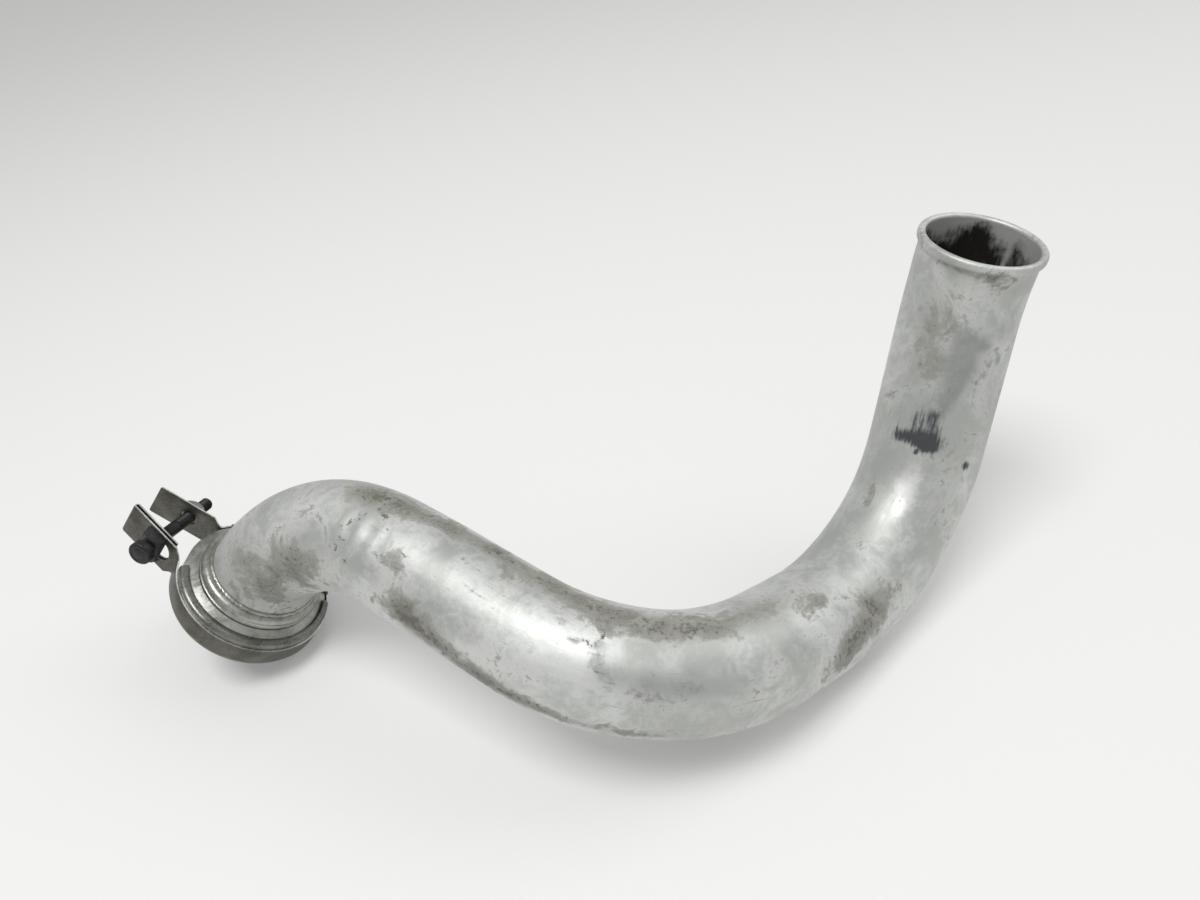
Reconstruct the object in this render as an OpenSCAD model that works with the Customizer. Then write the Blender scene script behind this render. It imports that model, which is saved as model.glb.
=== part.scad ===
// Charge air pipe of a heavy engine: a rigid bent aluminium tube with a rolled bead
// at its hose end and a turned V-band flange at the other, with the V-band clamp on it.
// Everything is built on the flange axis, with z = 0 at the flange's mating face and
// +z into the pipe, then leaned over as the part lies on a flat surface: on the clamp's
// lower edge and on the lowest bend.

/* [Pipe] */
// Outside diameter of the tube
pipe_d = 80; // [70:0.5:90]
// Wall thickness of the tube
pipe_wall = 2.5; // [1.5:0.1:4]
// Centreline radius of every bend
bend_r = 130; // [110:1:150]
// Straight length between the flange collar and the first bend
leg_flange = 1; // [0:0.5:12]
// Straight length between the first and second bends
leg_rise = 113; // [80:1:140]
// Straight length between the second and third bends
leg_sump = 44; // [20:1:70]
// Straight length between the third and fourth bends
leg_mouth = 80; // [55:1:105]
// Straight length behind the mouth bead
leg_hose = 2.5; // [2:0.5:20]
// Angle of the first bend, over the flange
bend_flange = 65.5; // [58:0.5:74]
// Angle of the second bend
bend_low = 73.5; // [66:0.5:82]
// Angle of the third bend
bend_up = 79; // [71:0.5:87]
// Angle of the fourth bend, near the mouth
bend_mouth = 24; // [16:0.5:32]
// Turn of the second bend's plane about the tube
roll_low = 103.5; // [96:0.5:111]
// Turn of the third bend's plane about the tube
roll_up = 77; // [70:0.5:84]
// Turn of the fourth bend's plane about the tube
roll_mouth = 40; // [30:0.5:50]

// How much the bending draws the tube in, on the radius
bend_draw = 0.05; // [0.02:0.01:0.2]

/* [Mouth bead] */
// How far the bead stands proud of the tube
bead_rise = 2.5; // [1.5:0.1:4]
// Length of the bead's straight crown
bead_crown = 1.5; // [0.5:0.1:4]

/* [Flange] */
// Outside diameter of the flange
flange_d = 109; // [107:0.5:110]
// Wall of the collar round the tube's socket
collar_wall = 5.9; // [3.9:0.1:6.9]
// Height of the collar above its groove
collar_h = 9.2; // [8:0.1:12]
// Rounding of the collar's top edge
collar_round = 4.6; // [3:0.1:5]
// Width of the groove under the collar
groove_w = 1.4; // [0.8:0.1:2]
// Depth of the groove under the collar
groove_depth = 1.8; // [1:0.1:2.5]
// Depth of the socket that the tube sits in
socket_depth = 16; // [10:0.5:20]
// Radial clearance of the tube in its socket
socket_gap = 0.1; // [0.05:0.01:0.3]
// Radius of the weld fillet
weld_r = 2.2; // [1.5:0.1:3]

// How much wider the flange's bore is than the tube's, on the radius
bore_step = 0.5; // [0:0.1:1.5]

/* [Seal] */
// Thickness of the seal ring
seal_d = 3; // [2:0.1:4]
// Centre diameter of the seal ring
seal_pitch_d = 90; // [84:0.5:94]
// How far the seal stands out of the flange face
seal_stand = 0.6; // [0.3:0.1:1]
// Width that the groove has to spare beside the seal
seal_side_gap = 0.4; // [0.2:0.1:1]

/* [V segments] */
// Clearance between the flange's rim and the inside of the segments' web
rim_gap = 1.4; // [0.6:0.1:2.6]
// Thickness of the segments' sheet
seg_t = 1.9; // [1.5:0.1:2.4]
// Height of the two segments' legs over the clamp's middle plane
seg_half_h = 14.9; // [13.5:0.1:16]
// Slope of the legs against the flange face
leg_slope = 30; // [24:1:34]
// Outside radius of the bend between web and leg
seg_bend_r = 3; // [2.4:0.1:4]
// How far the legs reach in over the flange's rim
lip_lap = 2.2; // [1.5:0.1:3]
// Clearance between the legs and the flange
cone_gap = 0.2; // [0.1:0.05:0.4]
// Bearing, seen from the ears, of the gap between the segments
split_at = 213; // [190:1:230]
// Width of that gap, as an angle
split_w = 10; // [4:1:20]
// Space between the segments' ends and the ears, as an angle
seg_end_gap = 2; // [1:0.5:4]

/* [Strap and ears] */
// Thickness of the strap
strap_t = 1.3; // [1:0.1:1.8]
// Width of the strap
strap_w = 15; // [12:0.5:18]
// Bearing of the ears from the plane of the first bend
ears_at = 200; // [190:1:210]
// Distance of each ear's line from the clamp's axis
ear_offset = 33; // [30:0.5:36]
// Lean of each ear towards the other
ear_toe = 10; // [6:0.5:12]
// Reach of the ears from the clamp's axis
ear_reach = 106; // [98:0.5:112]
// Height of the ears
ear_h = 29; // [26:0.5:31]
// Radius of the bend between strap and ear
ear_bend_r = 6; // [4:0.5:8]
// Space between the two leaves of the folded ear
fold_gap = 2; // [1:0.1:3]
// Rounding of the ears' outer corners
ear_corner_r = 2.5; // [1:0.5:5]
// Length of the slot in the folded ear
slot_l = 27; // [24:0.5:30]
// Height of that slot
slot_h = 18; // [15:0.5:20]
// Diameter of the hole in the plain ear
ear_hole_d = 13; // [11.5:0.5:15]

/* [Bolt] */
// Diameter of the bolt
bolt_d = 10; // [8:0.5:10]
// Distance of the bolt from the clamp's axis
bolt_at = 77.5; // [75:0.5:80]
// Diameter of the bolt's round head
head_d = 18; // [16:0.5:20]
// Thickness of the head
head_h = 7; // [5:0.5:9]
// Chamfer on the head's rim
head_chamfer = 1.2; // [0.5:0.1:2]
// How far the thread stands out of the nut
stub_l = 17; // [6:0.5:20]
// Radial clearance of the bolt in its saddle
bolt_gap = 0.3; // [0.1:0.05:0.6]
// Radius of the half-round saddles
saddle_r = 9; // [8:0.5:10]
// Height of the saddle and of the nut along the clamp's axis
saddle_h = 24; // [21:0.5:27]
// Thickness of the half-round nut
nut_rise = 6.5; // [5:0.5:8]
// Gap between two faces that only touch
seat_gap = 0.1; // [0.05:0.01:0.3]

/* [Rest] */
// Lean of the flange axis from upright, where the part lies on a flat surface
rest_tilt = 42.6; // [0:0.1:90]
// Turn of the part about the flange axis before it leans
rest_bearing = -40; // [-180:0.1:180]

/* [Hidden] */
$fn = 56;
// Sides of the tube, of the seal ring and of the small round edges
tube_fn = 28;
seal_fn = 40;
edge_fn = 14;
// Straight pieces in each bend of the sheet parts
bend_steps = 5;
// How far a cut runs past the face it opens
clear = 1;
// Laps between solids that are joined: along the tube, in the bead, and of an ear on the strap in degrees
lap = 0.5;
bead_lap = 0.3;
ear_lap = 1.5;
// How much thinner and narrower an ear's root is than the strap, on each side
ear_thinning = 0.05;

pipe_r = pipe_d / 2;
bore_r = pipe_r - pipe_wall;
flange_r = flange_d / 2;
collar_r = pipe_r + socket_gap + collar_wall;
flange_bore_r = bore_r + bore_step;

// Outside radius of the segments' web, where the strap lies, and radius at the legs' free edge
web_r = flange_r + rim_gap + seg_t;
lip_r = flange_r - lip_lap;
// The legs' outer line leaves the bend at c + seg_bend_r * (sin, cos) of the slope.
bend_c_r = web_r - seg_bend_r;
leg_rise_to_lip = (bend_c_r + seg_bend_r * sin(leg_slope) - lip_r) * tan(leg_slope);
web_half_h = seg_half_h - seg_bend_r * cos(leg_slope) - leg_rise_to_lip;

// Height of the flange's cone at a radius, a cone_gap inside the legs.
function cone_z(r) = (bend_c_r * sin(leg_slope) + web_half_h * cos(leg_slope) + seg_bend_r - seg_t
                      - cone_gap - r * sin(leg_slope)) / cos(leg_slope);
groove_z = cone_z(collar_r);
collar_z = groove_z + groove_w;
collar_top = collar_z + collar_h;
seat_z = collar_top - socket_depth;

nose_r = (bead_rise + pipe_wall + bead_lap) / 2;
bead_l = 2 * nose_r + bead_crown;
legs = [socket_depth + leg_flange, leg_rise, leg_sump, leg_mouth, leg_hose + bead_l];
bends = [bend_flange, bend_low, bend_up, bend_mouth];
rolls = [0, roll_low, roll_up, roll_mouth];

strap_in_r = web_r + seat_gap;
strap_mid_r = strap_in_r + strap_t / 2;
ear_fillet = ear_bend_r + strap_t / 2;
fillet_reach = strap_mid_r + ear_fillet;
fillet_swing = asin((ear_offset + ear_fillet) / fillet_reach);
fillet_x = fillet_reach * cos(fillet_swing);
strap_start = fillet_swing - ear_toe;
ring_start = strap_start + ear_lap / 4;
leaf_x = fillet_x + ear_bend_r;
fold_pitch = fold_gap + strap_t;
fold_r = fold_pitch / 2;
fold_x = (ear_reach - fold_r - strap_t / 2 - (ear_offset - fold_r) * sin(ear_toe)) / cos(ear_toe);
// Bolt line: where it crosses the outer face of either ear.
face_y = (ear_offset + strap_t / 2) / cos(ear_toe) - bolt_at * tan(ear_toe);
head_y = face_y + saddle_r + seat_gap;
nut_sink = saddle_r - nut_rise;
nut_y = face_y + nut_rise;
seg_start = strap_start + asin(fold_pitch / web_r) + seg_end_gap;

// Leans a piece over into the position at rest.
module at_rest() {
    rotate([0, rest_tilt, 0]) rotate([0, 0, rest_bearing]) children();
}

// A rod along the tube's centreline from leg i on. Bending draws the tube in a little,
// so each straight is bend_draw fuller than the bends and laps into them.
module run(i, r, reach) {
    first = i == 0 ? reach : lap;
    last = i == len(bends) ? reach : lap;
    translate([0, 0, -first]) cylinder(h = legs[i] + first + last, r = r);
    if (i < len(bends))
        translate([0, 0, legs[i]]) rotate([0, 0, rolls[i]]) {
            translate([bend_r, 0, 0]) rotate([90, 0, 180])
                rotate_extrude(angle = bends[i]) translate([bend_r, 0]) circle(r = r - bend_draw);
            translate([bend_r, 0, 0]) rotate([0, bends[i], 0]) translate([-bend_r, 0, 0])
                run(i + 1, r, reach) children();
        }
    else
        translate([0, 0, legs[i]]) children();
}

// The rolled bead: the tube's end is turned outwards and over.
module mouth_bead() {
    rotate_extrude() {
        translate([0, -bead_l]) square([pipe_r - lap, bead_l - nose_r]);
        translate([pipe_r + bead_rise - nose_r, -nose_r]) circle(r = nose_r, $fn = edge_fn);
        translate([0, -nose_r - bead_crown]) square([pipe_r + bead_rise, bead_crown]);
        translate([pipe_r + bead_rise - nose_r, -nose_r - bead_crown]) circle(r = nose_r, $fn = edge_fn);
    }
}

module charge_pipe() {
    color("silver") at_rest() translate([0, 0, seat_z]) difference() {
        run(0, pipe_r, 0, $fn = tube_fn) mouth_bead();
        run(0, bore_r, clear, $fn = tube_fn);
    }
}

// Half section of the flange and its collar.
module flange_section() {
    difference() {
        union() {
            polygon([[flange_bore_r, 0], [flange_r, 0], [flange_r, cone_z(flange_r)], [collar_r, groove_z],
                     [collar_r - groove_depth, groove_z], [collar_r - groove_depth, collar_z],
                     [collar_r, collar_z], [collar_r, collar_top - collar_round],
                     [collar_r - collar_round, collar_top - collar_round], [collar_r - collar_round, collar_top],
                     [flange_bore_r, collar_top]]);
            translate([collar_r - collar_round, collar_top - collar_round]) circle(r = collar_round, $fn = 2 * edge_fn);
        }
        translate([0, seat_z]) square([pipe_r + socket_gap, socket_depth + clear]);
        seal_groove_section();
    }
}

module seal_groove_section() {
    w = seal_d + seal_side_gap;
    translate([seal_pitch_d / 2 - w / 2, -clear]) square([w, seal_d - seal_stand + seat_gap + clear]);
}

module pipe_flange() {
    color("gray") at_rest() rotate_extrude() flange_section();
}

module flange_weld() {
    foot = pipe_r + socket_gap;
    color("darkgray") at_rest() rotate_extrude() intersection() {
        translate([foot, collar_top]) circle(r = weld_r, $fn = edge_fn);
        translate([foot, collar_top]) square(weld_r);
    }
}

module seal_ring() {
    color("black") at_rest() rotate_extrude($fn = seal_fn)
        translate([seal_pitch_d / 2, seal_d / 2 - seal_stand]) circle(r = seal_d / 2, $fn = edge_fn);
}

// Half section of a V segment: the sheet's outer line from the middle plane over the bend to
// the free edge, then its inner line back, mirrored about the middle plane.
function upper_line(web, bend) = concat(
    [for (i = [0:bend_steps]) let (a = (90 - leg_slope) * i / bend_steps)
        [bend_c_r + bend * cos(a), web_half_h + bend * sin(a)]],
    [[lip_r, leg_z(lip_r, bend)]]);
function leg_z(r, bend) = web_half_h + (bend + (bend_c_r - r) * sin(leg_slope)) / cos(leg_slope);
function flipped(points) = [for (i = [len(points) - 1:-1:0]) [points[i][0], -points[i][1]]];
function turned(points) = [for (i = [len(points) - 1:-1:0]) points[i]];

module segment_section() {
    outer = upper_line(web_r, seg_bend_r);
    inner = upper_line(web_r - seg_t, seg_bend_r - seg_t);
    polygon(concat(flipped(outer), outer, turned(inner), turned(flipped(inner))));
}

module v_segment(from, to) {
    rotate([0, 0, from]) rotate_extrude(angle = to - from) segment_section();
}

module on_clamp() {
    at_rest() rotate([0, 0, ears_at]) children();
}

module v_segment_front() {
    color("lightgray") on_clamp() v_segment(seg_start, split_at - split_w / 2);
}

module v_segment_back() {
    color("lightgray") on_clamp() v_segment(split_at + split_w / 2, 360 - seg_start);
}

// Middle line of an ear's sheet, as points with their outward normals: a lap on the strap's
// ring, the fillet, the leaf and, on the folded ear, the fold and the leaf that comes back.
lean_out = [cos(ear_toe), -sin(ear_toe)];
lean_up = [sin(ear_toe), cos(ear_toe)];
function arc_line(centre, r, from, to, steps, side) =
    [for (i = [0:steps]) let (a = from + (to - from) * i / steps, u = [cos(a), sin(a)])
        [centre + r * u, side * u]];
function ear_line(folded) = concat(
    arc_line([0, 0], strap_mid_r, strap_start + ear_lap, strap_start + ear_lap / 2, 1, 1),
    arc_line(lean_out * fillet_x + lean_up * (ear_offset + ear_fillet), ear_fillet,
             180 + strap_start, 270 - ear_toe, bend_steps, -1),
    folded
        ? concat(
            arc_line(lean_out * fold_x + lean_up * (ear_offset - fold_r),
                     fold_r, 90 - ear_toe, -90 - ear_toe, 2 * bend_steps, 1),
            [[lean_out * leaf_x + lean_up * (ear_offset - fold_pitch), -lean_up]])
        : [[lean_out * (fold_x + fold_r) + lean_up * ear_offset, lean_up]]);

module sheet(line, t) {
    linear_extrude(height = ear_h, center = true)
        polygon(concat([for (p = line) p[0] + p[1] * t / 2],
                       [for (i = [len(line) - 1:-1:0]) line[i][0] - line[i][1] * t / 2]));
}

module clamp_strap() {
    color("dimgray") on_clamp() {
        rotate([0, 0, ring_start])
            rotate_extrude(angle = 360 - 2 * ring_start)
                translate([strap_in_r, -strap_w / 2]) square([strap_t, strap_w]);
        for (folded = [true, false]) mirror([0, folded ? 0 : 1, 0]) ear(folded);
    }
}

// An ear on the +y side. It leaves the strap through a fillet and leans in by ear_toe.
module ear(folded) {
    difference() {
        intersection() {
            sheet(ear_line(folded), strap_t - 2 * ear_thinning);
            ear_side_view();
        }
        bolt_hole(folded ? slot_l : ear_hole_d, folded ? slot_h : ear_hole_d);
    }
}

// Side view of an ear: past the fillet it widens from the strap's width to its full height.
module ear_side_view() {
    root_h = strap_w / 2 - ear_thinning;
    root_x = strap_mid_r * cos(strap_start) + strap_t;
    full_x = root_x + (ear_h - strap_w) / 2;
    end_x = ear_reach - ear_corner_r;
    translate([0, 2 * ear_reach, 0]) rotate([90, 0, 0]) linear_extrude(height = 2 * ear_reach) {
        polygon([[0, -root_h], [root_x, -root_h], [full_x, -ear_h / 2], [end_x, -ear_h / 2],
                 [end_x, ear_h / 2], [full_x, ear_h / 2], [root_x, root_h], [0, root_h]]);
        for (side = [-1, 1])
            translate([end_x, side * (ear_h / 2 - ear_corner_r)]) circle(r = ear_corner_r, $fn = edge_fn);
        translate([end_x - ear_corner_r, ear_corner_r - ear_h / 2])
            square([2 * ear_corner_r, ear_h - 2 * ear_corner_r]);
    }
}

// The way for the bolt: a slot in the folded ear, a round hole in the plain one.
module bolt_hole(length, height) {
    reach = (length - height) / 2;
    translate([bolt_at - reach / 2, ear_reach, 0]) rotate([90, 0, 0]) linear_extrude(height = ear_reach) {
        for (side = [-1, 1]) translate([side * reach, 0]) circle(d = height);
        if (reach > 0) square([2 * reach, height], center = true);
    }
}

// The folded ear is on +y here, so the head is on +y and the thread leaves at -y.
module clamp_bolt() {
    color("black") on_clamp() translate([bolt_at, 0, 0]) rotate([-90, 0, 0]) {
        translate([0, 0, -nut_y - stub_l]) cylinder(h = nut_y + stub_l + head_y + head_h / 2, d = bolt_d);
        translate([0, 0, head_y]) {
            cylinder(h = head_h - head_chamfer, d = head_d);
            translate([0, 0, head_h - head_chamfer])
                cylinder(h = head_chamfer, d1 = head_d, d2 = head_d - 2 * head_chamfer);
        }
    }
}

// A half-round bar on an ear's outer face, its centre sunk into the face by the given depth.
module half_round(sink) {
    translate([bolt_at, face_y, 0]) rotate([0, 0, -ear_toe]) intersection() {
        translate([0, -sink, -saddle_h / 2]) cylinder(h = saddle_h, r = saddle_r);
        translate([-2 * saddle_r, seat_gap, -saddle_h]) cube([4 * saddle_r, 2 * saddle_r, 2 * saddle_h]);
    }
}

module bolt_saddle() {
    color("dimgray") on_clamp() difference() {
        half_round(0);
        translate([bolt_at, 0, 0]) rotate([-90, 0, 0]) cylinder(h = ear_reach, d = bolt_d + 2 * bolt_gap);
    }
}

module clamp_nut() {
    color("gray") on_clamp() mirror([0, 1, 0]) difference() {
        half_round(nut_sink);
        translate([bolt_at, 0, 0]) rotate([-90, 0, 0]) cylinder(h = ear_reach, d = bolt_d + 2 * seat_gap);
    }
}

charge_pipe();
pipe_flange();
flange_weld();
seal_ring();
v_segment_front();
v_segment_back();
clamp_strap();
clamp_bolt();
bolt_saddle();
clamp_nut();
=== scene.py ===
"""A bent aluminium charge air pipe with its V-band clamp, lying on a pale floor.

Sizes of the pipe and its clamp are in millimetres and degrees, those of the stage in metres.
"""
import logging
from dataclasses import dataclass
from enum import Enum
from typing import Sequence

import bmesh
import bpy
import numpy as np
from mathutils import Matrix, Vector


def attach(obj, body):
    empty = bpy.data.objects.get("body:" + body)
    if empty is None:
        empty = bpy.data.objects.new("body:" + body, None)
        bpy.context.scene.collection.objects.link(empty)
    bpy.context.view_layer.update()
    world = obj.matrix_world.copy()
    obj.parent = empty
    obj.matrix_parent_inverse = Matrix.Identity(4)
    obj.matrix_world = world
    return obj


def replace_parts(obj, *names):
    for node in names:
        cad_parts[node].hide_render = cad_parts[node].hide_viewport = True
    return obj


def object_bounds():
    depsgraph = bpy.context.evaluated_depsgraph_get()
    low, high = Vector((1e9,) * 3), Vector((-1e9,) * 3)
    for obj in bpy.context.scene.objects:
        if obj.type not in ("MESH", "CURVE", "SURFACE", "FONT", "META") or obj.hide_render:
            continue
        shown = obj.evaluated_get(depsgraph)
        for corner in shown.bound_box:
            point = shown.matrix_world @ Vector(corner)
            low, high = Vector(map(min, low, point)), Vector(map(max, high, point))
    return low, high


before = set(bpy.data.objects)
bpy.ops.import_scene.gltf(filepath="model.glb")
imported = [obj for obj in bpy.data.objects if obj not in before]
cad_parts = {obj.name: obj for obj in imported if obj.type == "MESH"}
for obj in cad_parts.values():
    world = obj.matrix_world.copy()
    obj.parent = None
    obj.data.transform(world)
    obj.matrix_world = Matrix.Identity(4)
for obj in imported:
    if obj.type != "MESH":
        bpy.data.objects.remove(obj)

log = logging.getLogger("charge_pipe")
CAD_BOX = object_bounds()
MM = 0.001
# For copies of solids: metres within which points merge, how far along the flange axis a cut edge
# faces, and the degrees under which faces join and over which an edge wears
MERGE_M, EDGE_ON, FLAT_DEG, SHARP_DEG = 0.00002, 0.7, 0.5, 38


class Metal(Enum):
    """The metals that the small pieces are made of."""

    TURNED = "turned"
    SHEET = "sheet"
    STRAP = "strap"
    EDGE = "edge"
    BLACKENED = "blackened"
    PLATED = "plated"
    RUBBER = "rubber"


# Placing and meshes


@dataclass(frozen=True)
class RestFrame:
    """Places the flange's own frame (z along the flange axis) in the row frame."""

    tilt: float = 42.6
    bearing: float = -40.0

    def matrix(self) -> np.ndarray:
        """A turn about z by the bearing, then about y by the tilt.

        Returns:
            The matrix, 3 by 3.
        """
        t, b = np.radians([self.tilt, self.bearing])
        about_y = np.array([[np.cos(t), 0, np.sin(t)], [0, 1, 0], [-np.sin(t), 0, np.cos(t)]])
        about_z = np.array([[np.cos(b), -np.sin(b), 0], [np.sin(b), np.cos(b), 0], [0, 0, 1]])
        return about_y @ about_z

    def place(self, points: np.ndarray) -> np.ndarray:
        """Turns flange frame points in millimetres into row frame points in metres."""
        return points @ self.matrix().T * MM


REST = RestFrame()


def grid_faces(rows: int, columns: int, close_rows: bool, close_columns: bool) -> np.ndarray:
    """Corner numbers of the quads of a grid of points.

    Args:
        rows: number of rows of points.
        columns: number of points in a row.
        close_rows: whether the last row joins the first.
        close_columns: whether the last point of a row joins its first.

    Returns:
        An array of n by 4 point numbers.
    """
    i = np.arange(rows if close_rows else rows - 1)
    j = np.arange(columns if close_columns else columns - 1)
    i, j = (a.ravel() for a in np.meshgrid(i, j, indexing="ij"))
    after, beside = (i + 1) % rows, (j + 1) % columns
    return np.stack([i * columns + j, i * columns + beside, after * columns + beside, after * columns + j], 1)


def mesh_object(name: str, points: np.ndarray, faces: Sequence[Sequence[int]]) -> bpy.types.Object:
    """Makes a smooth shaded piece that rides on the body.

    Args:
        name: the piece's name.
        points: n by 3 points in metres in the row frame.
        faces: corner numbers of each face.

    Returns:
        The new object.
    """
    mesh = bpy.data.meshes.new(name)
    mesh.from_pydata(points.tolist(), [], [list(map(int, f)) for f in faces])
    outwards(mesh)
    mesh.polygons.foreach_set("use_smooth", np.ones(len(mesh.polygons), bool))
    return on_body(bpy.data.objects.new(name, mesh))


def on_body(piece: bpy.types.Object) -> bpy.types.Object:
    """Puts a piece in the scene, on the part's only body.

    Args:
        piece: an object that isn't in the scene yet.

    Returns:
        The same piece.
    """
    bpy.context.scene.collection.objects.link(piece)
    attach(piece, "root")
    return piece


def outwards(mesh: bpy.types.Mesh, merge: float = 0.0) -> None:
    """Turns all faces outwards.

    Args:
        mesh: the mesh, which is changed in place.
        merge: distance in metres within which points merge first, 0 for none.
    """
    work = bmesh.new()
    work.from_mesh(mesh)
    if merge:
        bmesh.ops.remove_doubles(work, verts=work.verts, dist=merge)
    bmesh.ops.recalc_face_normals(work, faces=work.faces)
    work.to_mesh(mesh)
    work.free()


def point_value(piece: bpy.types.Object, name: str, values: np.ndarray) -> None:
    """Stores one number for each point of the piece, for its material to read."""
    layer = piece.data.attributes.new(name, "FLOAT", "POINT")
    layer.data.foreach_set("value", np.asarray(values, np.float32).ravel())


def waves(a: np.ndarray, b: np.ndarray, seed: int, count: int, low: float, high: float) -> np.ndarray:
    """Smooth unevenness: a sum of sines of a and b, whose directions, lengths and phases are seeded.

    Args:
        a: first coordinate, any shape.
        b: second coordinate, same shape.
        seed: fixes the draw.
        count: number of sines.
        low: lowest number of waves in one unit.
        high: highest number of waves in one unit.

    Returns:
        Values round 0, mostly between -1.4 and 1.4.
    """
    rng = np.random.default_rng(seed)
    total = np.zeros(np.broadcast(a, b).shape)
    for way, rate, phase in zip(rng.uniform(0, 2 * np.pi, count), rng.uniform(low, high, count),
                                rng.uniform(0, 2 * np.pi, count)):
        total += np.sin(2 * np.pi * rate * (a * np.cos(way) + b * np.sin(way)) + phase)
    return total / np.sqrt(count)


def arc(centre: tuple[float, float], radius: float, start: float, end: float, steps: int) -> np.ndarray:
    """Points on a circle, centre plus radius times (cos, sin), between two angles in degrees."""
    a = np.radians(np.linspace(start, end, steps))
    return np.stack([centre[0] + radius * np.cos(a), centre[1] + radius * np.sin(a)], 1)


def rounded(corners: Sequence[tuple[float, float, float]], steps: int = 5) -> np.ndarray:
    """Closed outline with rounded corners.

    Each corner becomes a curve (1 - t)^2 P + 2 t (1 - t) C + t^2 Q through its two cut points P and Q,
    which lie the corner's rounding away from the corner C.

    Args:
        corners: (x, y, rounding) of each corner.
        steps: points on each rounded corner.

    Returns:
        n by 2 points.
    """
    out = []
    for k, (x, y, cut) in enumerate(corners):
        here = np.array([x, y])
        if cut <= 0:
            out.append(here[None])
            continue
        before, after = np.array(corners[k - 1][:2]), np.array(corners[(k + 1) % len(corners)][:2])
        p = here + (before - here) * min(0.49, cut / np.linalg.norm(before - here))
        q = here + (after - here) * min(0.49, cut / np.linalg.norm(after - here))
        t = np.linspace(0, 1, steps)[:, None]
        out.append((1 - t) ** 2 * p + 2 * t * (1 - t) * here + t ** 2 * q)
    return np.concatenate(out)


# Material nodes


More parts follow.
